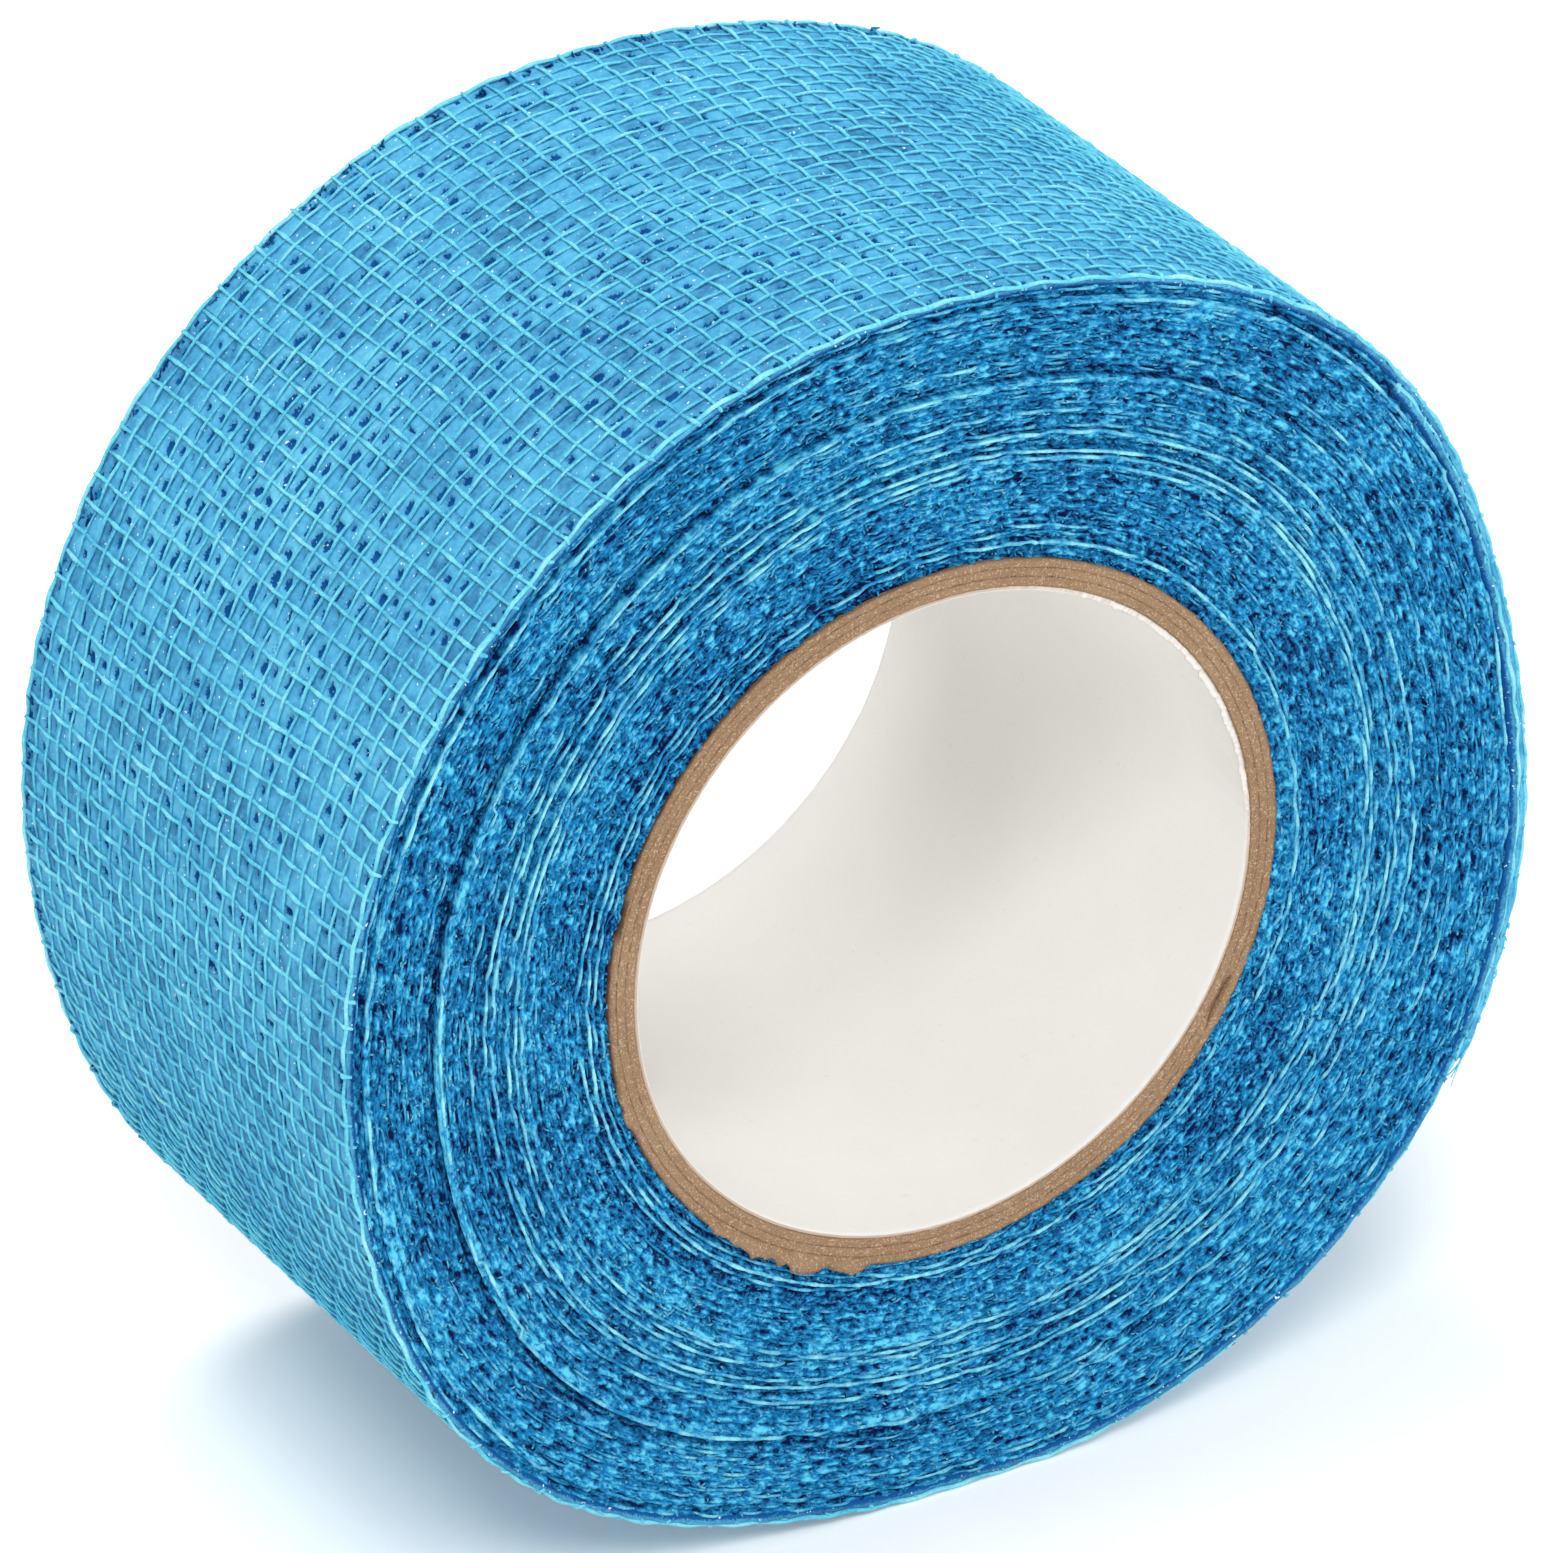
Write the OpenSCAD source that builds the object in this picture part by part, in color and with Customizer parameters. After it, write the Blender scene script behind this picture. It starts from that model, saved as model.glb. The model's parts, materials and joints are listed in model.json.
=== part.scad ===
// Roll of self-adhering, open-weave gauze tape on a paperboard core.
// The core's bore runs along Y and its centre is the origin, +Z is up.
// The strip winds outwards clockwise as seen from the front, -Y, and the
// roll stands on a small flat at the bottom of its rim.

/* [Core] */
// Diameter of the core's bore
bore_d = 26.4; // [15:0.1:80]
// Length of the core
core_len = 25.6; // [12:0.1:60]
// Thickness of the white liner ply inside the core
liner_t = 0.14; // [0.1:0.01:0.4]
// Thickness of each brown kraft ply
ply_t = 0.37; // [0.2:0.01:1]

/* [Gauze strip] */
// Width of the strip
strip_w = 25.4; // [12:0.1:60]
// Radius that one wound turn adds to the roll
turn_t = 0.315; // [0.25:0.005:0.8]
// Shift of the wound strip along the core, towards the front
strip_shift = 0.2; // [-1:0.1:1]
// Turns in each wound length, from the core outwards; one outer turn follows
turns_in_length = [3, 8, 2, 2, 3, 4, 10, 3]; // [2:1:12]
// Depth of the flat that the roll rests on
rest_depth = 0.7; // [0.3:0.1:1.2]

/* [Glue under the first turn] */
// Thickness of the glue line
glue_t = 0.06; // [0.03:0.01:0.15]
// Width of the glue line around the core
glue_w = 6; // [2:0.5:12]
// Bare margin between the glue line and each edge of the strip
glue_margin = 3; // [1:0.5:5]

/* [Free end] */
// Length of the free end that peels off the roll
free_len = 25; // [15:1:35]
// Place of the free end's tip around the rim, from +X towards +Z
tip_angle = -29; // [-40:1:-20]
// Clearance between the free end and the turn below it
free_gap = 0.1; // [0.05:0.01:0.2]
// Clearance between one hinged section of the free end and the next
section_gap = 0.1; // [0.05:0.01:0.2]

/* [Hidden] */
$fn = 96;

// Degrees between two points of a wound outline
outline_step = 5;
// Hinged sections that make up the free end
sections = 4;
// Extra length of a cut past the faces it cuts
past = 1;

bore_r = bore_d / 2;
kraft_r = bore_r + liner_t;
core_r = kraft_r + 3 * ply_t;

// Turns below wound length i, counted from the core
function turns_below(i) = i == 0 ? 0 : turns_below(i - 1) + turns_in_length[i - 1];
all_turns = turns_below(len(turns_in_length)) + 1;
rim_r = core_r + turn_t * all_turns;

// Radius of the outer face after a number of turns, at an angle that is
// counted clockwise from the free end's tip
function face_r(turns, turned) = core_r + turn_t * (turns - 0.5 + turned / 360);
function face_point(turns, turned) = let (r = face_r(turns, turned))
    [r * cos(tip_angle - turned), r * sin(tip_angle - turned)];

// The layers at the bottom are pressed thinner by the same share
bottom_turned = 90 + tip_angle;
function flat_z(turns) = let (r = face_r(turns, bottom_turned))
    -(r - rest_depth * (r - core_r) / (rim_r - core_r));

// Closed outline of the roll after a number of turns, with the step that
// the strip makes where one turn passes over the one before it
function rim_outline(turns) = [for (turned = [0:outline_step:360])
    let (p = face_point(turns, turned)) [p[0], max(p[1], flat_z(turns))]];

free_deg = free_len / (2 * PI * rim_r) * 360;
section_deg = free_deg / sections;
section_gap_deg = section_gap / (2 * PI * rim_r) * 360;

// Turns a shape that was drawn in X and Z, so that it runs along Y
module along_y(length, shift = 0) {
    translate([0, -shift, 0])
        rotate([90, 0, 0])
            linear_extrude(height = length, center = true)
                children();
}

module tube(r_in, r_out, length) {
    rotate([90, 0, 0])
        difference() {
            cylinder(r = r_out, h = length, center = true);
            cylinder(r = r_in, h = length + 2 * past, center = true);
        }
}

module kraft_ply(i) {
    color("#9c7b5b")
        tube(kraft_r + i * ply_t, kraft_r + (i + 1) * ply_t, core_len);
}

module core_liner() {
    color("#e6e3dc")
        tube(bore_r, kraft_r, core_len);
}

module core_ply_inner() {
    kraft_ply(0);
}

module core_ply_middle() {
    kraft_ply(1);
}

module core_ply_outer() {
    kraft_ply(2);
}

// The glue line lies along the core, below the start of the first turn
module glue_line() {
    glue_deg = glue_w / (2 * PI * core_r) * 360;
    translate([0, -strip_shift, 0])
        rotate([90, 0, 0])
            rotate_extrude(angle = glue_deg, start = tip_angle - glue_deg)
                translate([core_r, -(strip_w / 2 - glue_margin)])
                    square([glue_t, strip_w - 2 * glue_margin]);
}

module start_glue() {
    color("#d8cfa8")
        glue_line();
}

// Wound length i of the strip, from the core outwards
module wound_length(i) {
    below = turns_below(i);
    color(i % 2 == 0 ? "#2f86bd" : "#3a95c9")
        difference() {
            along_y(strip_w, strip_shift)
                polygon(rim_outline(below + turns_in_length[i]));
            if (i > 0)
                along_y(strip_w + 2 * past, strip_shift)
                    polygon(rim_outline(below));
        }
}

module first_turns() {
    difference() {
        wound_length(0);
        translate([0, -strip_shift, 0])
            rotate([90, 0, 0])
                cylinder(r = core_r, h = strip_w + 2 * past, center = true);
        glue_line();
    }
}

module inner_turns() {
    wound_length(1);
}

module ridge_turns_a() {
    wound_length(2);
}

module ridge_turns_b() {
    wound_length(3);
}

module ridge_turns_c() {
    wound_length(4);
}

module middle_turns() {
    wound_length(5);
}

module outer_turns() {
    wound_length(6);
}

module closing_turns() {
    wound_length(7);
}

// Outline of one stretch of the outer turn, between two angles counted
// clockwise from the tip, lifted off the turn below by a gap
function stretch_outline(from, to, gap) = let (
    n = ceil((to - from) / outline_step),
    angles = [for (i = [0:n]) from + (to - from) * i / n],
    outer = [for (turned = angles)
        let (p = face_point(all_turns, turned)) [p[0], max(p[1], flat_z(all_turns))]],
    inner = [for (i = [n:-1:0])
        let (p = face_point(all_turns - 1, angles[i]),
             lift = (face_r(all_turns - 1, angles[i]) + gap) / face_r(all_turns - 1, angles[i]))
        [p[0] * lift, max(p[1], flat_z(all_turns - 1)) * lift]])
    concat(outer, inner);

module top_turn() {
    color("#49a7d6")
        difference() {
            along_y(strip_w, strip_shift)
                polygon(stretch_outline(0, 360 - free_deg, -turn_t));
            along_y(strip_w + 2 * past, strip_shift)
                polygon(rim_outline(all_turns - 1));
        }
}

module free_section(i) {
    from = 360 - free_deg + i * section_deg;
    color("#5cb8e0")
        along_y(strip_w, strip_shift)
            polygon(stretch_outline(from + section_gap_deg, from + section_deg, free_gap));
}

module free_end_1() {
    free_section(0);
}

module free_end_2() {
    free_section(1);
}

module free_end_3() {
    free_section(2);
}

module free_end_4() {
    free_section(3);
}

core_liner();
core_ply_inner();
core_ply_middle();
core_ply_outer();
start_glue();
first_turns();
inner_turns();
ridge_turns_a();
ridge_turns_b();
ridge_turns_c();
middle_turns();
outer_turns();
closing_turns();
top_turn();
free_end_1();
free_end_2();
free_end_3();
free_end_4();
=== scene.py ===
import json
import math

import bpy
import numpy as np
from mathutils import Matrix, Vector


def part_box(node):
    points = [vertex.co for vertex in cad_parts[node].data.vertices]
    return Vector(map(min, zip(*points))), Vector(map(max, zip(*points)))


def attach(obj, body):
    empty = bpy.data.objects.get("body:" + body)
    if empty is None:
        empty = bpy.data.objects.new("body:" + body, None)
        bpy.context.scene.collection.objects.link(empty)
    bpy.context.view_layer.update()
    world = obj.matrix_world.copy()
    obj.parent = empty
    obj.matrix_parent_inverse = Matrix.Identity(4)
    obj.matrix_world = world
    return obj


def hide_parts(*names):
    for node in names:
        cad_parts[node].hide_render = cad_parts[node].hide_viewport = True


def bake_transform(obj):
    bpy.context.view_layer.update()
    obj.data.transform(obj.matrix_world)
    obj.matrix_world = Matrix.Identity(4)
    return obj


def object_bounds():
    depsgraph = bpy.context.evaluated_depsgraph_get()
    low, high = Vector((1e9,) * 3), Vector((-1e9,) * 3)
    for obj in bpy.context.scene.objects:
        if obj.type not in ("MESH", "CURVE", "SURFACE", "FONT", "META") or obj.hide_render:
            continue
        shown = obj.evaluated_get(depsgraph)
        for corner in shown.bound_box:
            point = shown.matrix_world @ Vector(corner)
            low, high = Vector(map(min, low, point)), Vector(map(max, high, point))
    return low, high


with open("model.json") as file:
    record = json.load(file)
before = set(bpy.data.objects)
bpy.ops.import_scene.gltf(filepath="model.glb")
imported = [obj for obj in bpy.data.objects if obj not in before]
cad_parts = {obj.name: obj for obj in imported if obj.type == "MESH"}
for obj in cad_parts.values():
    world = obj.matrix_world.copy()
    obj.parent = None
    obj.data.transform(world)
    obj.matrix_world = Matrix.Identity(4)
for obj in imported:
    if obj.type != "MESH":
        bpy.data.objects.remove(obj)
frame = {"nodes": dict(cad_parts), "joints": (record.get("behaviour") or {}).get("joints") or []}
cad_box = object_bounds()

# The view of the roll.
# A long lens looks down on the roll from its front left. The roll's front side and the outside
# of its last turn both show.
camera_azimuth = math.radians(-30.394)
camera_elevation = math.radians(28.586)
camera_place = (-0.20862, -0.35601, 0.22470)

lens = bpy.data.cameras.new("view")
lens.lens = 288
lens.sensor_width = 36
lens.clip_start = 0.01
lens.clip_end = 20
camera = bpy.data.objects.new("view", lens)
camera.location = camera_place
camera.rotation_euler = (math.pi / 2 - camera_elevation, 0, camera_azimuth)
bpy.context.scene.collection.objects.link(camera)
bpy.context.scene.camera = camera

# Core liner.
# The white paper ply that lines the bore. It is wound and glued inside the kraft plies, and the
# saw that cut the core has torn its front rim a little on one side.
# Sizes and places on the roll are in millimetres, and make_piece turns them into metres
MM = 0.001
liner_r_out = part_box("core_liner")[1].x / MM
liner_t = 0.14
bore_r = liner_r_out - liner_t
core_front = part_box("core_liner")[0].y / MM
core_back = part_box("core_liner")[1].y / MM


def smooth_noise(u, v, seed, cells=256):
    """Noise from -1 to 1 with one random value per cell, which repeats after that many cells."""
    table = np.random.RandomState(seed).uniform(-1, 1, (cells, cells))
    low_u = np.floor(u).astype(int)
    low_v = np.floor(v).astype(int)
    share_u = u - low_u
    share_v = v - low_v
    share_u = share_u * share_u * (3 - 2 * share_u)
    share_v = share_v * share_v * (3 - 2 * share_v)
    left, right = low_u % cells, (low_u + 1) % cells
    near, far = low_v % cells, (low_v + 1) % cells
    front = table[left, near] * (1 - share_u) + table[right, near] * share_u
    back = table[left, far] * (1 - share_u) + table[right, far] * share_u
    return front * (1 - share_v) + back * share_v


def noise_round(angle, across, seed, cells=256):
    """Noise that closes on itself round the core."""
    return smooth_noise(angle / (2 * math.pi) * cells, across, seed, cells)


def make_piece(name, points, faces, corners, fields, material):
    """A mesh object from points in millimetres, faces in groups of equal size, a flat map and
    one number per point for each field."""
    mesh = bpy.data.meshes.new(name)
    mesh.vertices.add(len(points))
    mesh.vertices.foreach_set("co", (points * MM).astype(np.float32).ravel())
    sizes = np.concatenate([np.full(len(group), group.shape[1]) for group in faces])
    mesh.loops.add(int(sizes.sum()))
    loops = np.concatenate([group.ravel() for group in faces])
    mesh.loops.foreach_set("vertex_index", loops.astype(np.int32))
    mesh.polygons.add(len(sizes))
    starts = np.concatenate([[0], np.cumsum(sizes)[:-1]])
    mesh.polygons.foreach_set("loop_start", starts.astype(np.int32))
    mesh.polygons.foreach_set("use_smooth", np.ones(len(sizes), bool))
    flat_map = mesh.uv_layers.new(name="OFBake")
    spread = np.concatenate([group.reshape(-1, 2) for group in corners])
    flat_map.data.foreach_set("uv", spread.astype(np.float32).ravel())
    for field, values in fields.items():
        layer = mesh.attributes.new(field, "FLOAT", "POINT")
        layer.data.foreach_set("value", values.astype(np.float32).ravel())
    mesh.update(calc_edges=True)
    mesh.materials.append(material)
    piece = bpy.data.objects.new(name, mesh)
    bpy.context.scene.collection.objects.link(piece)
    return piece


def loft(rings, closed):
    """Faces and flat map of a skin over rings of points, [ring, point, xyz]. The rings are closed
    outlines. If closed is false, the first and last ring get an end face."""
    count, around = rings.shape[:2]
    steps = count if closed else count - 1
    i, j = np.meshgrid(np.arange(steps), np.arange(around), indexing="ij")
    next_i, next_j = (i + 1) % count, (j + 1) % around
    quads = np.stack([i * around + j, next_i * around + j,
                      next_i * around + next_j, i * around + next_j], -1)
    u = np.stack([i, i + 1, i + 1, i], -1) / steps
    v = np.stack([j, j, j + 1, j + 1], -1) / around
    faces = [quads.reshape(-1, 4)]
    corners = [np.stack([u, v], -1).reshape(-1, 4, 2)]
    if not closed:
        first = np.arange(around)[::-1]
        last = np.arange(around) + (count - 1) * around
        faces.append(np.stack([first, last]))
        corners.append(np.full((2, around, 2), 0.5 / around))
    return faces, corners


def facing_out(rings, faces, corners):
    """The same faces, turned over if the closed skin's volume comes out negative."""
    points = rings.reshape(-1, 3)
    a, b, c, d = (points[faces[0][:, k]] for k in range(4))
    volume = np.einsum("ij,ij->", a, np.cross(b, c)) + np.einsum("ij,ij->", a, np.cross(c, d))
    if volume >= 0:
        return faces, corners
    return [group[:, ::-1] for group in faces], [group[:, ::-1] for group in corners]


def skin_piece(name, rings, closed, fields, material):
    """A piece whose surface is a skin over rings of points, facing outwards."""
    faces, corners = facing_out(rings, *loft(rings, closed))
    return make_piece(name, rings.reshape(-1, 3), faces, corners, fields, material)


def fill_in(tree, socket, value):
    """Links another node's output to a socket, or sets the socket to a plain value."""
    if isinstance(value, bpy.types.NodeSocket):
        tree.links.new(value, socket)
    else:
        socket.default_value = value


def node_in(tree, kind, **inputs):
    """A new shader node, with its inputs filled in by name."""
    node = tree.nodes.new(kind)
    for label, value in inputs.items():
        fill_in(tree, node.inputs[label.replace("_", " ")], value)
    return node


def math_in(tree, operation, *values, clamp=False):
    """A Math node's result, from numbers or sockets, held between 0 and 1 if clamp is true."""
    node = tree.nodes.new("ShaderNodeMath")
    node.operation = operation
    node.use_clamp = clamp
    for socket, value in zip(node.inputs, values):
        fill_in(tree, socket, value)
    return node.outputs[0]


def mix_in(tree, share, first, second):
    """A colour mixed from two colours by a share from 0 to 1."""
    node = tree.nodes.new("ShaderNodeMix")
    node.data_type = "RGBA"
    for place, value in ((0, share), (6, first), (7, second)):
        fill_in(tree, node.inputs[place], value)
    return node.outputs[2]


def place_in(tree):
    """The place on the piece, in metres, as a shader reads it."""
    return tree.nodes.new("ShaderNodeTexCoord").outputs["Object"]


def field_in(tree, field):
    """One of the piece's numbers per point, as a shader reads it."""
    node = tree.nodes.new("ShaderNodeAttribute")
    node.attribute_name = field
    return node.outputs["Fac"]


def dye(red, green, blue):
    """A colour given in 0 to 255 as a screen shows it, in the renderer's linear numbers."""
    return tuple(((c / 255 + 0.055) / 1.055) ** 2.4 for c in (red, green, blue)) + (1.0,)


def new_group(name, inputs, outputs):
    """An empty shader node group with its sockets, and its input and output nodes."""
    tree = bpy.data.node_groups.new(name, "ShaderNodeTree")
    for label, kind in inputs:
        tree.interface.new_socket(label, in_out="INPUT", socket_type=kind)
    for label, kind in outputs:
        tree.interface.new_socket(label, in_out="OUTPUT", socket_type=kind)
    return tree, tree.nodes.new("NodeGroupInput").outputs, tree.nodes.new("NodeGroupOutput").inputs


def use_group(tree, group, **inputs):
    """A node that places a group in a material, with its inputs filled in by name."""
    node = tree.nodes.new("ShaderNodeGroup")
    node.node_tree = group
    for label, value in inputs.items():
        fill_in(tree, node.inputs[label.replace("_", " ")], value)
    return node


def bump_in(tree, shader, height, strength, depth):
    """Gives a shader fine relief from a height, up to a depth in metres."""
    bump = node_in(tree, "ShaderNodeBump", Height=height, Strength=strength, Distance=depth)
    tree.links.new(bump.outputs["Normal"], shader.inputs["Normal"])


def new_material(name, roughness, specular):
    """A material, its node tree and its shader, with the constant values set on the shader."""
    material = bpy.data.materials.new(name)
    material.use_nodes = True
    tree = material.node_tree
    shader = tree.nodes["Principled BSDF"]
    shader.inputs["Roughness"].default_value = roughness
    shader.inputs["Specular IOR Level"].default_value = specular
    return material, tree, shader


FLOAT, COLOR = "NodeSocketFloat", "NodeSocketColor"

# Paper pulp: flecks and short fibres, as a mask for the colour and a height for the bump
pulp, given, result = new_group(
    "paper_pulp",
    [("Fleck Size", FLOAT), ("Fleck Share", FLOAT)],
    [("Fleck", FLOAT), ("Cloud", FLOAT), ("Height", FLOAT)],
)
place = place_in(pulp)
per_metre = math_in(pulp, "DIVIDE", 1.0, given["Fleck Size"])
fleck_noise = node_in(pulp, "ShaderNodeTexNoise", Vector=place, Scale=per_metre, Detail=3.0)
cloud_noise = node_in(pulp, "ShaderNodeTexNoise", Vector=place, Scale=260.0, Detail=2.0)
edge = math_in(pulp, "SUBTRACT", 0.78, given["Fleck Share"])
over = math_in(pulp, "SUBTRACT", fleck_noise.outputs["Fac"], edge)
pulp.links.new(math_in(pulp, "MULTIPLY", over, 9.0, clamp=True), result["Fleck"])
pulp.links.new(cloud_noise.outputs["Fac"], result["Cloud"])
pulp.links.new(fleck_noise.outputs["Fac"], result["Height"])

liner_paper, tree, shader = new_material("liner_paper", roughness=0.72, specular=0.25)
grain = use_group(tree, pulp, Fleck_Size=0.00035, Fleck_Share=0.1)
clouded = mix_in(tree, grain.outputs["Cloud"], dye(237, 235, 231), dye(231, 229, 224))
faint_fleck = math_in(tree, "MULTIPLY", grain.outputs["Fleck"], 0.25)
flecked = mix_in(tree, faint_fleck, clouded, dye(196, 184, 165))
# Kraft brown on the rim face: partly dust, partly painted shade that dulls the lit rim
rim_dusted_and_shaded = mix_in(tree, field_in(tree, "rim_dust_and_shade"), flecked, dye(172, 144, 116))
tree.links.new(rim_dusted_and_shaded, shader.inputs["Base Color"])
bump_in(tree, shader, grain.outputs["Height"], strength=0.12, depth=0.00005)

core_columns = 1440
turn_angle = np.arange(core_columns) * 2 * math.pi / core_columns
# Places along the core for the points of a ply's walls, closest together at the rims
wall_places = np.array([0.012, 0.17, 0.33, 0.5, 0.67, 0.83, 0.988])
tear_centre = math.radians(38)
tear_reach = math.radians(36)


def core_ring(r_in, r_out, rim_points, front_shift, back_shift, radial_shift):
    """Rings of points round the core for one ply: front rim, outer face, back rim, bore face."""
    share = np.linspace(0, 1, rim_points)
    wall_points = len(wall_places)
    core_length = core_back - core_front
    radii = np.concatenate([r_in + (r_out - r_in) * share, np.full(wall_points, r_out),
                            r_out - (r_out - r_in) * share, np.full(wall_points, r_in)])
    along = np.concatenate([np.full(rim_points, core_front), core_front + core_length * wall_places,
                            np.full(rim_points, core_back), core_back - core_length * wall_places])
    radius, angle = np.meshgrid(radii, turn_angle)
    y = np.tile(along, (core_columns, 1))
    radius = radius + radial_shift(angle, radius, y)
    y = y + np.where(y == core_front, front_shift(angle, radius), 0)
    y = y + np.where(y == core_back, back_shift(angle, radius), 0)
    return np.stack([radius * np.cos(angle), y, radius * np.sin(angle)], -1)


def saw_marks(angle, radius, seed):
    """The rough face that the saw leaves on the core's end."""
    coarse = noise_round(angle, radius / 0.13, seed)
    fine = noise_round(angle, radius / 0.07, seed + 1, 1024)
    return 0.03 * coarse + 0.02 * fine


def torn_paper(angle):
    """How far the torn front rim of the liner frays, from 0 to 1."""
    away = (angle - tear_centre + math.pi) % (2 * math.pi) - math.pi
    ragged = 0.55 + 0.3 * noise_round(angle, 0, 11)
    ragged = ragged + 0.3 * noise_round(angle, 0, 13, 1024)
    return np.exp(-(away / tear_reach) ** 4) * np.clip(ragged, 0, 1)


def liner_front(angle, radius):
    """The liner's front rim stands back a little, and is frayed where it is torn."""
    return 0.02 + 0.1 * torn_paper(angle) + 0.4 * saw_marks(angle, radius, 12)


def liner_back(angle, radius):
    """The liner's back rim, sawn but not torn."""
    return -0.02 + 0.4 * saw_marks(angle, radius, 14)


def liner_waviness(angle, radius, y):
    """The paper's slight waves, and the lip of torn paper that curls into the bore."""
    wave = noise_round(angle, y / 6.0, 16, 16)
    lip = (y == core_front) * np.clip((liner_r_out - radius) / liner_t, 0, 1)
    return 0.02 * wave - 0.005 - 0.22 * lip * torn_paper(angle)


liner_rim_points = 4
rings = core_ring(bore_r, liner_r_out, liner_rim_points, liner_front, liner_back, liner_waviness)
# The saw leaves kraft dust on the liner's rim, but little of it where the paper is torn clean. The same
# brown is also painted shade, which dulls the rim face where it catches the light
place_in_ring = np.arange(rings.shape[1])[None]
on_rim = place_in_ring < liner_rim_points
clean = np.clip(2 * torn_paper(turn_angle), 0, 1)[:, None]
rim_dust_and_shade = 0.8 * (place_in_ring > 0) * on_rim * (1 - clean) + 0.2 * clean * on_rim
liner = skin_piece("core_liner_paper", rings, True, {"rim_dust_and_shade": rim_dust_and_shade}, liner_paper)
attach(liner, "roll")
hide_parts("core_liner")

# Kraft plies.
# Three brown paperboard plies, glued on each other around the liner. The cut ends show their
# pulp and the faint lines between the plies, and the outer ply is torn up where the core was sawn.
kraft_board, tree, shader = new_material("kraft_board", roughness=0.9, specular=0.15)
grain = use_group(tree, pulp, Fleck_Size=0.00009, Fleck_Share=0.24)
clouded = mix_in(tree, grain.outputs["Cloud"], dye(160, 132, 104), dye(140, 110, 82))
flecked = mix_in(tree, grain.outputs["Fleck"], clouded, dye(188, 163, 136))
dark_grain = use_group(tree, pulp, Fleck_Size=0.00007, Fleck_Share=0.19)
dark_fleck = math_in(tree, "MULTIPLY", dark_grain.outputs["Fleck"], 0.6)
flecked = mix_in(tree, dark_fleck, flecked, dye(116, 88, 64))
# The dark brown draws the lines between the plies; on the outer ply it is also painted shade at the edge
# next to the gauze and in the notch
lined_and_shaded = mix_in(tree, field_in(tree, "shade"), dye(84, 58, 38), flecked)
tree.links.new(lined_and_shaded, shader.inputs["Base Color"])
bump_in(tree, shader, grain.outputs["Height"], strength=0.5, depth=0.0001)

kraft_plies = ("core_ply_inner", "core_ply_middle", "core_ply_outer")
core_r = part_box("core_ply_outer")[1].x / MM
ply_t = (core_r - liner_r_out) / len(kraft_plies)
# Torn places on the outer ply: direction and reach in degrees, then how far the ply stands out
torn_places = ((197, 4, 0.2), (228, 4, 0.28), (235, 3.5, 0.3), (244, 5, 0.42), (253, 3, 0.26))
# Notch where the outer ply is missing, and split where the middle ply has come loose: direction
# and reach in degrees, then depth
notch_place = (165, 3.5, 0.45)
split_place = (330, 4, 0.25)
flake_lift = 0.2


def bell(angle, spot):
    """How strongly an angle lies in a marked place, from 0 to 1."""
    away = (np.degrees(angle) - spot[0] + 180) % 360 - 180
    return np.exp(-(away / spot[1]) ** 4)


def kraft_front(ply):
    """The sawn front rim of one ply, with the torn places of the outer and the middle ply."""
    def shift(angle, radius):
        rim = (radius - liner_r_out - ply * ply_t) / ply_t
        rounded = 0.03 * np.clip(np.abs(2 * rim - 1) - 0.7, 0, 1)
        torn = rounded + saw_marks(angle, radius, 20 + 2 * ply)
        if ply == 2:
            for spot in torn_places:
                torn = torn - flake_lift * bell(angle, spot) * np.clip(rim, 0, 1)
            torn = torn + notch_place[2] * bell(angle, notch_place) * np.clip(2 * rim - 0.6, 0, 1)
        if ply == 1:
            torn = torn + split_place[2] * bell(angle, split_place)
        return torn
    return shift


def kraft_back(ply):
    """The sawn back rim of one ply."""
    def shift(angle, radius):
        return saw_marks(angle, radius, 30 + 2 * ply)
    return shift


def kraft_radial(ply):
    """How far the front edge of the outer ply stands out where flakes of it are torn up."""
    def shift(angle, radius, y):
        if ply < 2:
            return 0 * radius
        outer = np.clip((radius - core_r + 0.12) / 0.12, 0, 1) * (y == core_front)
        flap = sum(spot[2] * bell(angle, spot) for spot in torn_places)
        ragged = 0.03 * noise_round(angle, 0, 40 + ply)
        jagged = 0.6 + 0.5 * noise_round(angle, 0, 44)
        jagged = jagged + 0.2 * noise_round(angle, 0, 45, 1024)
        return outer * (ragged + flap * jagged)
    return shift


for ply, node in enumerate(kraft_plies):
    r_in = liner_r_out + ply * ply_t
    rings = core_ring(r_in, r_in + ply_t, 7, kraft_front(ply), kraft_back(ply), kraft_radial(ply))
    rim = np.clip((np.hypot(rings[..., 0], rings[..., 2]) - r_in) / ply_t, 0, 1)
    angle = turn_angle[:, None]
    streak = noise_round(angle, rim * 3, 50 + ply)
    seam = np.clip(np.abs(2 * rim - 1) - 0.7, 0, 1) * (0.5 + streak)
    shade = np.clip(0.96 - 0.5 * seam + 0.14 * streak, 0, 1)
    if ply == 2:
        # Painted shade: the outer ply darkens towards its outer edge, where it meets the gauze, and more
        # so on the left side
        outer_edge_shade = 0.5 * np.clip(rim * 3 - 2, 0, 1)
        outer_edge_shade = outer_edge_shade + 0.5 * bell(angle, (170, 45)) * np.clip(rim * 1.6 - 0.6, 0, 1)
        flake = np.clip(sum(bell(angle, spot) for spot in torn_places), 0, 1)
        shade = shade + (1 - shade) * flake * (rim > 0.6)
        # Painted shade in the notch where the outer ply is missing
        notch_shade = 0.8 * bell(angle, notch_place) * (rim > 0.3)
        shade = np.clip(shade - outer_edge_shade * (1 - flake) - notch_shade, 0, 1)
    board = skin_piece(node + "_board", rings, True, {"shade": shade}, kraft_board)
    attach(board, "roll")
    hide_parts(node)

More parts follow.
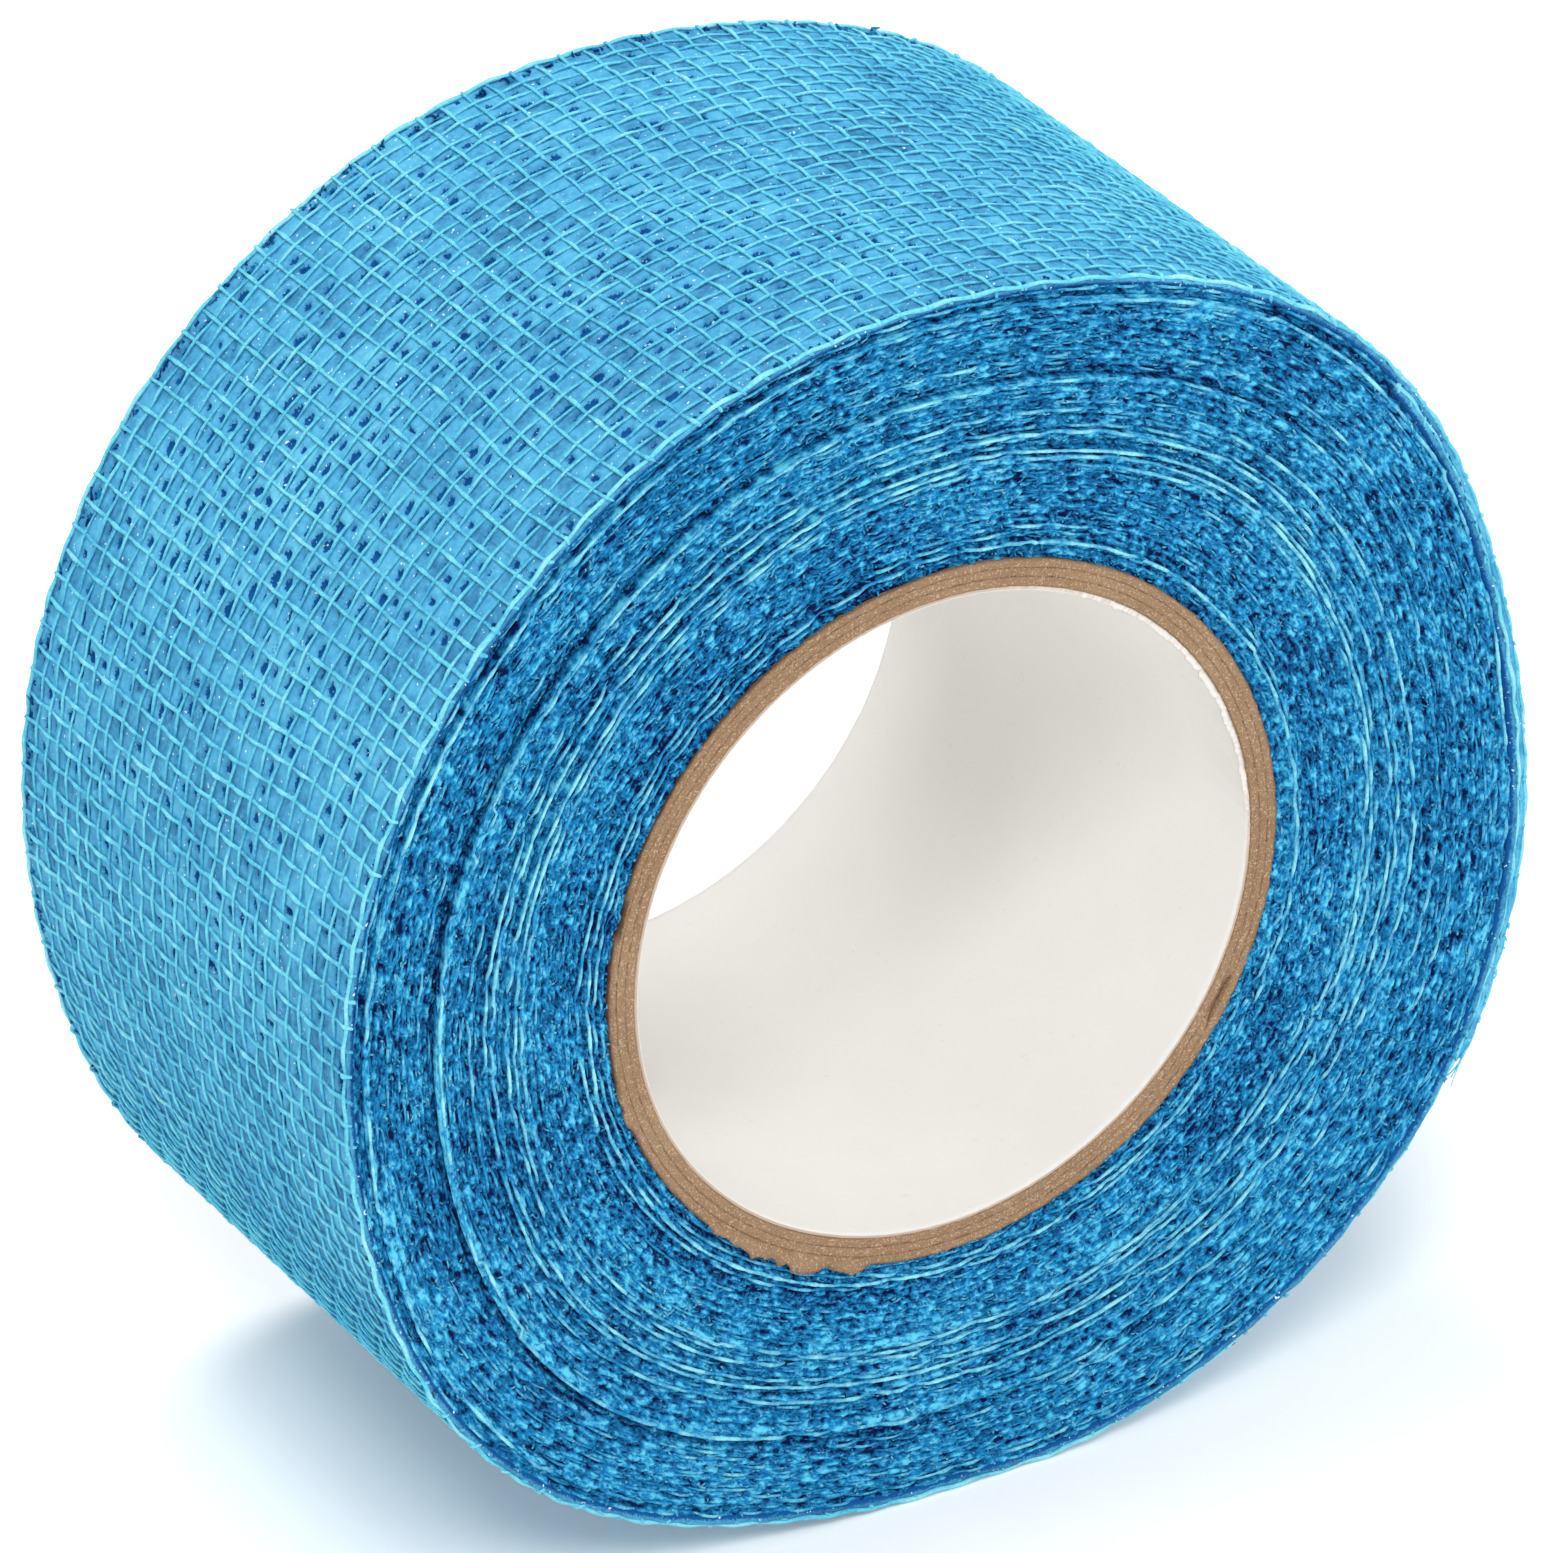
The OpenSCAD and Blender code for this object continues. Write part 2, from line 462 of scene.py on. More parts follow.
# Start glue.
# A thin line of dried glue along the core, which holds the start of the first turn. It lies
# under all the turns, so the part's own solid is kept and gets the look of clear, dried glue.
dried_glue, tree, shader = new_material("dried_glue", roughness=0.35, specular=0.5)
grain = use_group(tree, pulp, Fleck_Size=0.0006, Fleck_Share=0.2)
clouded = mix_in(tree, grain.outputs["Cloud"], dye(222, 212, 170), dye(204, 190, 140))
tree.links.new(clouded, shader.inputs["Base Color"])
bump_in(tree, shader, grain.outputs["Height"], strength=0.4, depth=0.0001)
glue_line = frame["nodes"]["start_glue"]
glue_line.data.materials.clear()
glue_line.data.materials.append(dried_glue)

# Wound lengths of the strip.
# One strip of open gauze, wound 36 times. The sides of the roll are the slit edges of all the
# turns: last lengthwise yarns at uneven depths, and the frayed ends of the crosswise yarns.
wound_lengths = (("first_turns", 3), ("inner_turns", 8), ("ridge_turns_a", 2), ("ridge_turns_b", 2),
                 ("ridge_turns_c", 3), ("middle_turns", 4), ("outer_turns", 10), ("closing_turns", 3))
all_turns = sum(turns for name, turns in wound_lengths) + 1
strip_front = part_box("outer_turns")[0].y / MM
strip_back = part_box("outer_turns")[1].y / MM
tip_angle = -29
top_turned = 270 + tip_angle
turn_t = (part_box("closing_turns")[1].z / MM - core_r) / (all_turns - 1.5 + top_turned / 360)
rim_r = core_r + turn_t * all_turns
bottom_turned = 90 + tip_angle
bottom_r = rim_r + turn_t * (bottom_turned / 360 - 0.5)
rest_depth = (bottom_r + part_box("top_turn")[0].z / MM) * (rim_r - core_r) / (bottom_r - core_r)
# Pitch of the crosswise yarns along the strip
weft_pitch = 1.015
# The rim isn't quite round: number of waves round the roll, then their height as a share of the
# rim's radius, for the cosine and the sine
out_of_round = ((1, 0.005, -0.005), (2, 0.003, 0.0015), (3, -0.004, -0.01),
                (4, -0.014, -0.0015), (6, 0.001, -0.0055))


def lap_noise(turned, across, seed, cells):
    """Noise that closes on itself after one turn, at an angle in degrees round the roll."""
    return smooth_noise(turned / 360 * cells, across, seed, cells)


def flat_height(turn):
    """Height of the flat that one turn rests on, below the centre of the bore."""
    r = core_r + turn_t * (turn - 0.5 + bottom_turned / 360)
    return -(r - rest_depth * (r - core_r) / (rim_r - core_r))


def wound(turns, turned, y, lift):
    """Place on the roll after some turns, at an angle in degrees clockwise from the strip's tip,
    at y across the roll, and lifted off the turn's outer face."""
    shape = np.broadcast_arrays(turns, turned, y, lift)
    turns, turned, y, lift = (np.asarray(a, float) for a in shape)
    angle = np.radians(tip_angle - turned)
    r = core_r + turn_t * (turns + (turned / 360 - 0.5) * np.clip(turns, 0, 1))
    out = (r - core_r) / (rim_r - core_r)
    waves = sum(a * np.cos(k * angle) + b * np.sin(k * angle) for k, a, b in out_of_round)
    r = r + rim_r * out * waves + lift
    z = np.maximum(r * np.sin(angle), flat_height(turns) - lift)
    return np.stack([r * np.cos(angle), y, z], -1)


# Turns whose edge stands proud: number of the turn, how far its edge stands out, how deep the
# groove outside it is, and the direction in degrees where it shows most
proud_turns = ((0, 0.0, 0.24, 60), (1, 0.0, 0.3, 180), (2, 0.26, 0.05, 40), (3, 0.14, 0.1, 250),
               (4, 0.1, 0.06, 200), (12, 0.14, 0.08, 300), (13, 0.14, 0.1, 60), (14, 0.14, 0.1, 110),
               (16, 0.18, 0.14, 90), (17, 0.12, 0.08, 230), (19, 0.16, 0.1, 330), (23, 0.32, 0.4, 200),
               (26, 0.08, 0.08, 20), (33, 0.2, 0.2, 110), (35, 0.08, 0.2, 120))
# Turns over which a proud edge rises and a groove fades, and how many turns a proud edge leans
# outwards for each millimetre that it stands out
ridge_width = 0.9
groove_width = 1.8
lean = 3.2


def edge_height(turns, turned):
    """How far the strip's edge stands out of the roll's side. A proud edge follows its own turn,
    and sinks in again where that turn starts and ends."""
    angle = np.radians(tip_angle - turned)
    fade = np.clip(5 * np.sin(np.radians(turned / 2)), 0, 1)
    total = 0
    for turn, stands, groove, shows in proud_turns:
        share = fade * (0.45 + 0.55 * (0.5 + 0.5 * np.cos(angle - math.radians(shows))))
        ridge = stands * np.exp(-np.clip(turn - turns, 0, all_turns) / ridge_width)
        ditch = -groove * np.exp(-np.clip(turns - turn, 0, all_turns) / groove_width)
        total = total + share * np.where(turns <= turn, ridge, ditch)
    return total + 0.06 * lap_noise(turned, (turns + turned / 360) / 3.1, 60, 32)


def flared(turns, turned):
    """A proud edge leans outwards over its groove: its place, counted in turns."""
    return turns + lean * np.clip(edge_height(turns, turned) - 0.05, 0, 0.4)


def side_relief(turns, turned, seed):
    """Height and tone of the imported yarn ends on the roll's side."""
    where = wound(turns, turned, 0, 0)
    x, z = where[..., 0], where[..., 2]
    out = turns + turned / 360
    streaks = lap_noise(turned, out * 1.7, seed, 256)
    gaps = np.cos(2 * math.pi * (turns + 0.5))
    blobs = smooth_noise(x / 0.27 + 40, z / 0.27 + 40, seed + 1)
    fine = smooth_noise(x / 0.13 + 90, z / 0.13 + 90, seed + 2, 512)
    # rough sets both the height and the tone: the tone is painted shade where the side sinks, as in the
    # gaps between turns, and painted light where it rises
    rough = 0.3 * streaks + 0.3 * gaps + 0.4 * blobs + 0.25 * fine
    stands = edge_height(turns, turned)
    height = stands - 0.18 + 0.15 * rough
    bands = lap_noise(turned, out / 2.6 + 7, seed + 3, 16)
    # Painted light on proud edges and painted shade in the grooves outside them
    ridge_light_and_groove_shade = np.where(stands > 0.06, 1.1 * stands, 1.5 * np.clip(stands + 0.06, -1, 0))
    tone = 0.42 + 0.45 * rough + 0.1 * bands + ridge_light_and_groove_shade
    return height, np.clip(tone, 0, 1)


def tubes(centres, normals, half_width, half_height, tone, sides, columns=1):
    """Points, faces, flat map and tone of many yarns at once: centres and normals are
    [yarn, point, xyz], and the widths and tones are [yarn, point]. The flat map lays the yarns
    out in columns."""
    yarns, count = centres.shape[:2]
    tangent = np.gradient(centres, axis=1)
    across = np.cross(tangent, normals)
    across = across / np.linalg.norm(across, axis=-1, keepdims=True)
    up = np.cross(across, tangent)
    up = up / np.linalg.norm(up, axis=-1, keepdims=True)
    turn = np.arange(sides) * 2 * math.pi / sides
    points = (centres[:, :, None]
              + across[:, :, None] * (half_width[..., None] * np.cos(turn))[..., None]
              + up[:, :, None] * (half_height[..., None] * np.sin(turn))[..., None])
    yarn, i, j = np.meshgrid(np.arange(yarns), np.arange(count - 1), np.arange(sides), indexing="ij")
    base = yarn * count * sides
    next_j = (j + 1) % sides
    quads = np.stack([base + i * sides + j, base + (i + 1) * sides + j,
                      base + (i + 1) * sides + next_j, base + i * sides + next_j], -1)
    rows = math.ceil(yarns / columns)
    cell_u, cell_v = yarn % columns, yarn // columns
    u = np.stack([i, i + 1, i + 1, i], -1) / (count - 1)
    v = np.stack([j, j, j + 1, j + 1], -1) / sides
    u = (cell_u[..., None] + 0.04 + 0.92 * u) / columns
    v = (cell_v[..., None] + 0.04 + 0.92 * v) / rows
    ends = np.arange(yarns)[:, None] * count * sides
    ring = np.arange(sides)[None]
    caps = np.concatenate([ends + ring, ends + (count - 1) * sides + ring[:, ::-1]])
    cap_u = (np.arange(yarns) % columns + 0.02) / columns
    cap_v = (np.arange(yarns) // columns + 0.02) / rows
    cap_at = np.tile(np.stack([cap_u, cap_v], -1)[:, None], (2, sides, 1))
    faces = [quads.reshape(-1, 4), caps]
    corners = [np.stack([u, v], -1).reshape(-1, 4, 2), cap_at]
    return points.reshape(-1, 3), faces, corners, np.repeat(tone.ravel(), sides)


def joined(parts):
    """Several sets of tubes as one mesh, each with its own strip of the flat map."""
    points, faces, corners, tones = [], [], [], []
    below = 0
    for number, (part_points, part_faces, part_corners, tone) in enumerate(parts):
        points.append(part_points)
        tones.append(tone)
        for group, flat in zip(part_faces, part_corners):
            faces.append(group + below)
            corners.append(np.stack([flat[..., 0], (flat[..., 1] + number) / len(parts)], -1))
        below += len(part_points)
    return np.concatenate(points), faces, corners, np.concatenate(tones)


# Dyed gauze: dark between the yarns, middle blue in the bulk and light at the yarns' surface. Where the
# tone follows depth, the dark is painted shade and the light partly a painted highlight on the raised
# yarns
gauze_dye, given, result = new_group(
    "gauze_dye",
    [("Tone", FLOAT), ("Deep", COLOR), ("Middle", COLOR), ("Light", COLOR), ("Fine Size", FLOAT),
     ("Unevenness", FLOAT)],
    [("Color", COLOR)],
)
place = place_in(gauze_dye)
per_metre = math_in(gauze_dye, "DIVIDE", 1.0, given["Fine Size"])
fine_noise = node_in(gauze_dye, "ShaderNodeTexNoise", Vector=place, Scale=per_metre, Detail=2.0)
patch_noise = node_in(gauze_dye, "ShaderNodeTexNoise", Vector=place, Scale=190.0, Detail=1.0)
fine_part = math_in(gauze_dye, "SUBTRACT", fine_noise.outputs["Fac"], 0.5)
patch_part = math_in(gauze_dye, "SUBTRACT", patch_noise.outputs["Fac"], 0.5)
both_parts = math_in(gauze_dye, "MULTIPLY_ADD", patch_part, 0.6, fine_part)
uneven = math_in(gauze_dye, "MULTIPLY_ADD", both_parts, given["Unevenness"], given["Tone"])
lower_half = math_in(gauze_dye, "MULTIPLY", uneven, 2.0, clamp=True)
upper_half = math_in(gauze_dye, "MULTIPLY_ADD", uneven, 2.0, -1.0, clamp=True)
darker = mix_in(gauze_dye, lower_half, given["Deep"], given["Middle"])
gauze_dye.links.new(mix_in(gauze_dye, upper_half, darker, given["Light"]), result["Color"])

# Spun yarn: the fine hairs of the yarn's surface, as a height for the bump
spun_yarn, given, result = new_group("spun_yarn", [("Hair Size", FLOAT)], [("Height", FLOAT)])
place = place_in(spun_yarn)
per_metre = math_in(spun_yarn, "DIVIDE", 1.0, given["Hair Size"])
hair_noise = node_in(spun_yarn, "ShaderNodeTexNoise", Vector=place, Scale=per_metre, Detail=4.0,
                     Roughness=0.7)
spun_yarn.links.new(hair_noise.outputs["Fac"], result["Height"])

# Packed yarn ends: the pits between them on the roll's side, longer along the turns than across. The tone
# that it gives darkens the pits as painted shade, from the same noise as the bump height
packed_ends, given, result = new_group(
    "packed_ends",
    [("Row Size", FLOAT), ("Ends Round", FLOAT), ("Depth", FLOAT)],
    [("Tone", FLOAT), ("Height", FLOAT)],
)
place = node_in(packed_ends, "ShaderNodeSeparateXYZ", Vector=place_in(packed_ends))
x_place, z_place = place.outputs["X"], place.outputs["Z"]
x_squared = math_in(packed_ends, "MULTIPLY", x_place, x_place)
radius_squared = math_in(packed_ends, "MULTIPLY_ADD", z_place, z_place, x_squared)
radius = math_in(packed_ends, "SQRT", radius_squared)
around = math_in(packed_ends, "DIVIDE", given["Ends Round"], radius)
polar = node_in(packed_ends, "ShaderNodeCombineXYZ",
                X=math_in(packed_ends, "MULTIPLY", x_place, around),
                Y=math_in(packed_ends, "MULTIPLY", z_place, around),
                Z=math_in(packed_ends, "DIVIDE", radius, given["Row Size"]))
pits = node_in(packed_ends, "ShaderNodeTexNoise", Vector=polar.outputs["Vector"], Scale=1.0,
               Detail=2.0, Roughness=0.6)
pit_part = math_in(packed_ends, "SUBTRACT", pits.outputs["Fac"], 0.5)
packed_ends.links.new(math_in(packed_ends, "MULTIPLY", pit_part, given["Depth"]), result["Tone"])
packed_ends.links.new(pits.outputs["Fac"], result["Height"])


def gauze_material(name, deep, middle, light, fine_size, unevenness, roughness, bump_depth, pit_shade=0):
    """Dyed cotton, from its three blues, the size of its fibres in metres, how uneven the dye is,
    the depth of the fibres and, on the roll's side, how much painted shade darkens the pits
    between the ends."""
    material, tree, shader = new_material(name, roughness, specular=0.1)
    shader.inputs["Sheen Weight"].default_value = 0.04
    shader.inputs["Sheen Roughness"].default_value = 0.5
    shader.inputs["Sheen Tint"].default_value = dye(190, 235, 250)
    tone = field_in(tree, "tone")
    height = use_group(tree, spun_yarn, Hair_Size=fine_size * 0.6).outputs["Height"]
    if pit_shade:
        packed = use_group(tree, packed_ends, Row_Size=0.0002, Ends_Round=50.0, Depth=pit_shade)
        tone = math_in(tree, "ADD", tone, packed.outputs["Tone"])
        height = math_in(tree, "MULTIPLY_ADD", packed.outputs["Height"], 3.0, height)
    dyed = use_group(tree, gauze_dye, Tone=tone, Deep=deep, Middle=middle, Light=light,
                     Fine_Size=fine_size, Unevenness=unevenness)
    tree.links.new(dyed.outputs["Color"], shader.inputs["Base Color"])
    bump_in(tree, shader, height, strength=0.7, depth=bump_depth)
    return material


gauze_side = gauze_material("gauze_side", dye(0, 24, 78), dye(24, 134, 192), dye(96, 206, 236),
                            fine_size=0.00016, unevenness=0.6, roughness=0.9, bump_depth=0.00006,
                            pit_shade=2.6)
gauze_edge_yarn = gauze_material("gauze_edge_yarn", dye(0, 60, 130), dye(34, 146, 200),
                                 dye(142, 224, 236), fine_size=0.00014, unevenness=0.7,
                                 roughness=0.85, bump_depth=0.00004)

# Distance between the points of a side round the roll, and how many lie in each turn
side_step = 0.17
points_per_turn = 5
# Distance between the sides and the straight part of a wound length's walls
wall_margin = 0.6


def side_rings(first, last, sink):
    """Closed outlines of one wound length, round the roll: front side, outer wall, back side and
    inner wall. The outer wall is sunk where a weave is laid on it."""
    columns = int(round(2 * math.pi * (core_r + last * turn_t) / side_step))
    turned = np.linspace(0, 360, columns, endpoint=False)[:, None]
    rows = int(round((last - first) * points_per_turn)) + 1
    across = np.linspace(first, last, rows)[None]
    front_height, front_tone = side_relief(across, turned, 70)
    back_height, back_tone = side_relief(across, turned, 80)
    leaning = np.where(across < all_turns - 1.5, flared(across, turned), across)
    front = wound(leaning, turned, strip_front - front_height, 0)
    back = wound(leaning, turned, strip_back + back_height, 0)
    wall = np.array([strip_front + wall_margin, strip_front + wall_margin + 0.1,
                     strip_back - wall_margin - 0.1, strip_back - wall_margin])[None]
    drop = np.array([0, -sink, -sink, 0])[None]
    outer = wound(last, turned, wall, drop)
    inner = wound(first, turned, wall[:, ::-1], 0)
    rings = np.concatenate([front, outer, back[:, ::-1], inner], 1)
    # The walls inside the roll get a dark tone, as painted shade
    dark = np.full((columns, 4), 0.2)
    tone = np.concatenate([front_tone, dark, back_tone[:, ::-1], dark], 1)
    return rings, tone


def edge_yarns(turn_list, side, seed):
    """The last lengthwise yarn of each turn, at its uneven depth in the roll's side."""
    points_round = 640
    turned = np.linspace(0, 360, points_round)[None]
    turn = np.array(turn_list)[:, None]
    angle = np.radians(tip_angle - turned)
    # Around the 16th and the 31st turn the edges show more often than elsewhere
    shown = 0.2 * np.exp(-((turn - 16) / 4.5) ** 4) + 0.12 * np.exp(-((turn - 31) / 4) ** 4)
    for at, stands, groove, shows in proud_turns:
        share = 0.55 + 0.45 * (0.5 + 0.5 * np.cos(angle - math.radians(shows)))
        shown = shown + (turn == at) * share * min(1, stands / 0.14)
    drift = lap_noise(turned, turn * 7.3, seed, 64)
    broken = lap_noise(turned, turn * 5.9, seed + 2, 128)
    # The yarn dips under every second crosswise yarn, so it shows as dashes
    dips_round = np.round(math.pi * (core_r + turn * turn_t) / weft_pitch)
    dips = np.cos(np.radians(turned) * dips_round + turn * 2.4)
    stands = edge_height(turn, turned)
    sunk = 0.33 - 0.17 * drift - 0.15 * broken - 0.11 * dips - 0.24 * shown
    depth = stands - np.maximum(sunk, 0.1 - 0.06 * np.clip(shown, 0, 1))
    wander = 0.2 * lap_noise(turned, turn * 3.7, seed + 1, 32)
    wander = wander + 0.04 * broken
    edge = strip_front - depth if side < 0 else strip_back + depth
    leaning = np.where(turn < all_turns - 1, flared(turn - 0.1 + wander, turned), turn - 0.5)
    centres = wound(leaning, turned, edge, 0)
    normals = np.zeros_like(centres)
    normals[..., 1] = side
    fuzz = lap_noise(turned, turn * 4.3, seed + 3, 512)
    # Painted shade and light: the tone is lower where the yarn sinks deeper into the side and higher where
    # it shows; fuzz varies at random
    tone = np.clip(0.32 + 0.36 * shown + 0.22 * drift + 0.14 * dips + 0.14 * fuzz, 0.1, 1)
    width = (0.05 + 0.02 * np.clip(shown, 0, 1)) * (1 + 0.35 * fuzz)
    return tubes(centres, normals, width, width * 0.9, tone, sides=5)


# Distance between the cut ends of the crosswise yarns, along one turn's edge
stub_pitch = 0.95


def frayed_ends(turn_list, side, seed, start=0, stop=360):
    """The cut ends of the crosswise yarns, between two angles clockwise from the tip: each one
    splays into a few bent fibres."""
    random = np.random.RandomState(seed)
    fibres = 4
    turns, turned = [], []
    for turn in turn_list:
        stubs = int(2 * math.pi * (core_r + turn * turn_t) / stub_pitch)
        spots = (np.arange(stubs) + random.uniform(-0.35, 0.35, stubs)) * 360 / stubs
        turned.append(np.repeat(spots, fibres))
        turns.append(np.full(stubs * fibres, turn - 0.5))
    turns, turned = np.concatenate(turns), np.concatenate(turned) % 360
    wanted = (turned >= start) & (turned < stop)
    turns, turned = turns[wanted], turned[wanted]
    total = len(turns)
    degree = np.degrees(1 / (core_r + turns * turn_t))
    spot_turn = turns + random.normal(0, 0.16, total)
    spot_turned = turned + random.normal(0, 0.16, total) * degree
    lean_along = random.normal(0, 0.2, total) * degree
    lean_out = random.normal(0, 0.3, total)
    reach = random.uniform(0.0, 0.15, total)
    stands = edge_height(turns, turned)
    height = stands - 0.12
    share = np.linspace(0, 1, 4)[None]
    out = (height[:, None] - 0.14) + (reach[:, None] + 0.1) * np.sin(share * math.pi * 0.62)
    bend = share ** 1.6
    edge = strip_front - out if side < 0 else strip_back + out
    spot_turn = np.where(spot_turn < all_turns - 1.2, flared(spot_turn, spot_turned), spot_turn)
    centres = wound(spot_turn[:, None] + lean_out[:, None] * bend,
                    spot_turned[:, None] + lean_along[:, None] * bend, edge, 0)
    normals = np.zeros_like(centres)
    normals[:] = (0.5, 0.3 * side, 0.8)
    width = (0.062 - 0.028 * share) * random.uniform(0.75, 1.25, total)[:, None]
    bright = random.uniform(0.15, 0.7, total)[:, None]
    # Painted shade and light: fibres are darker at their roots in the side, lighter towards their tips and
    # on proud edges; how bright each fibre is varies at random
    tone = np.clip(bright * (0.5 + 0.7 * share) + 0.8 * stands[:, None], 0, 1)
    return tubes(centres, normals, width, width, tone, sides=3, columns=80)


turns_below = 0
for name, turns in wound_lengths:
    last = turns_below + turns
    # The outermost of these lengths is sunk, to make room for the weave of its last turn
    sink = 0.5 if name == "closing_turns" else 0
    rings, tone = side_rings(turns_below, last, sink)
    bulk = skin_piece(name + "_bulk", rings, True, {"tone": tone}, gauze_side)
    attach(bulk, "roll")
    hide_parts(name)
    turn_list = list(range(turns_below + 1, last + 1))
    # The first turn's cut ends also stick out over the core
    frayed_list = turn_list + [0.8] if turns_below == 0 else turn_list
    for side, face in ((-1, "front"), (1, "back")):
        yarns = [edge_yarns(turn_list, side, 90 + side), frayed_ends(frayed_list, side, 200 + last + side)]
        points, faces, corners, tone = joined(yarns)
        edge = make_piece(name + "_edge_" + face, points, faces, corners, {"tone": tone}, gauze_edge_yarn)
        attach(edge, "roll")
    turns_below = last

# Outer turn.
# The last turn of the strip shows the weave: 30 straight lengthwise yarns, thicker crosswise
# yarns that wander, and a thin coat of rubber latex that closes most of the cells between them.
warps = 30
# Bare width between the last lengthwise yarn and the strip's edge
edge_margin = 0.13
warp_pitch = (strip_back - strip_front - 2 * edge_margin) / (warps - 1)
# Half the width and height of a lengthwise and of a crosswise yarn
warp_half = (0.072, 0.056)
weft_half = (0.074, 0.058)
# Depth of the coat, of the floor of an open cell in it and of its underside, below the rim
coat_depth = 0.15
cell_depth = 0.26
under_depth = 0.44
weft_degrees = math.degrees(weft_pitch / (rim_r - coat_depth))
hinges = [joint["pos_m"] for joint in frame["joints"]]
hinge_turned = [(tip_angle - math.degrees(math.atan2(h[2], h[0]))) % 360 for h in hinges]
section_degrees = (360 - hinge_turned[0]) / len(hinges)
outer_stop = hinge_turned[0] - section_degrees / 2
# Degrees along the strip, counted from the core's first turn, where the outer turn starts
outer_start = 360 * all_turns

gauze_film = gauze_material("gauze_film", dye(0, 56, 120), dye(80, 170, 212), dye(120, 210, 234),
                            fine_size=0.00022, unevenness=0.45, roughness=0.6, bump_depth=0.00007)
gauze_yarn = gauze_material("gauze_yarn", dye(54, 156, 206), dye(108, 210, 232), dye(166, 234, 242),
                            fine_size=0.00013, unevenness=0.8, roughness=0.8, bump_depth=0.00006)
# The open cells in the coat have ragged outlines and a dark blue that is painted shade in their depth, and
# small painted highlights here and there stand for glints on dry beads of latex
tree = gauze_film.node_tree
shader = tree.nodes["Principled BSDF"]
place = place_in(tree)
ragged = node_in(tree, "ShaderNodeTexNoise", Vector=place, Scale=9000.0, Detail=1.0)
shifted = math_in(tree, "MULTIPLY_ADD", ragged.outputs["Fac"], 0.9, field_in(tree, "hole"))
pit_shade_mask = math_in(tree, "MULTIPLY_ADD", shifted, 5.0, -4.4, clamp=True)
coat_color = shader.inputs["Base Color"].links[0].from_socket
pit_shaded = mix_in(tree, pit_shade_mask, coat_color, dye(8, 84, 148))
# Painted highlight: sparse near-white spots stand for glints
glint_noise = node_in(tree, "ShaderNodeTexNoise", Vector=place, Scale=7000.0, Detail=0.0)
glint = math_in(tree, "MULTIPLY_ADD", glint_noise.outputs["Fac"], 24.0, -18.7, clamp=True)
tree.links.new(mix_in(tree, glint, pit_shaded, dye(206, 238, 244)), shader.inputs["Base Color"])


def weft_wander(along, y):
    """How far the crosswise yarns stray along the strip, in pitches."""
    together = smooth_noise(along / 7.0, y / 9.0 + 30, 101)
    alone = smooth_noise(along + 0.5, y / 4.0 + 60, 102)
    return 0.34 * together + 0.07 * alone


def warp_wander(number, along):
    """How far a lengthwise yarn strays across the strip, in millimetres."""
    slow = smooth_noise(along / 9.0 + 10, number, 103)
    quick = smooth_noise(along / 2.0, number, 104)
    return 0.09 * slow + 0.03 * quick


def warp_place(number):
    """Where a lengthwise yarn lies across the strip."""
    return strip_front + edge_margin + number * warp_pitch


def cell_values(cell_row, cell_column, seed):
    """Three random numbers from 0 to 1 for each cell of the weave."""
    values = np.random.RandomState(seed).uniform(0, 1, (3, 509, 61))
    return values[:, cell_row.astype(int) % 509, cell_column.astype(int) % 61]


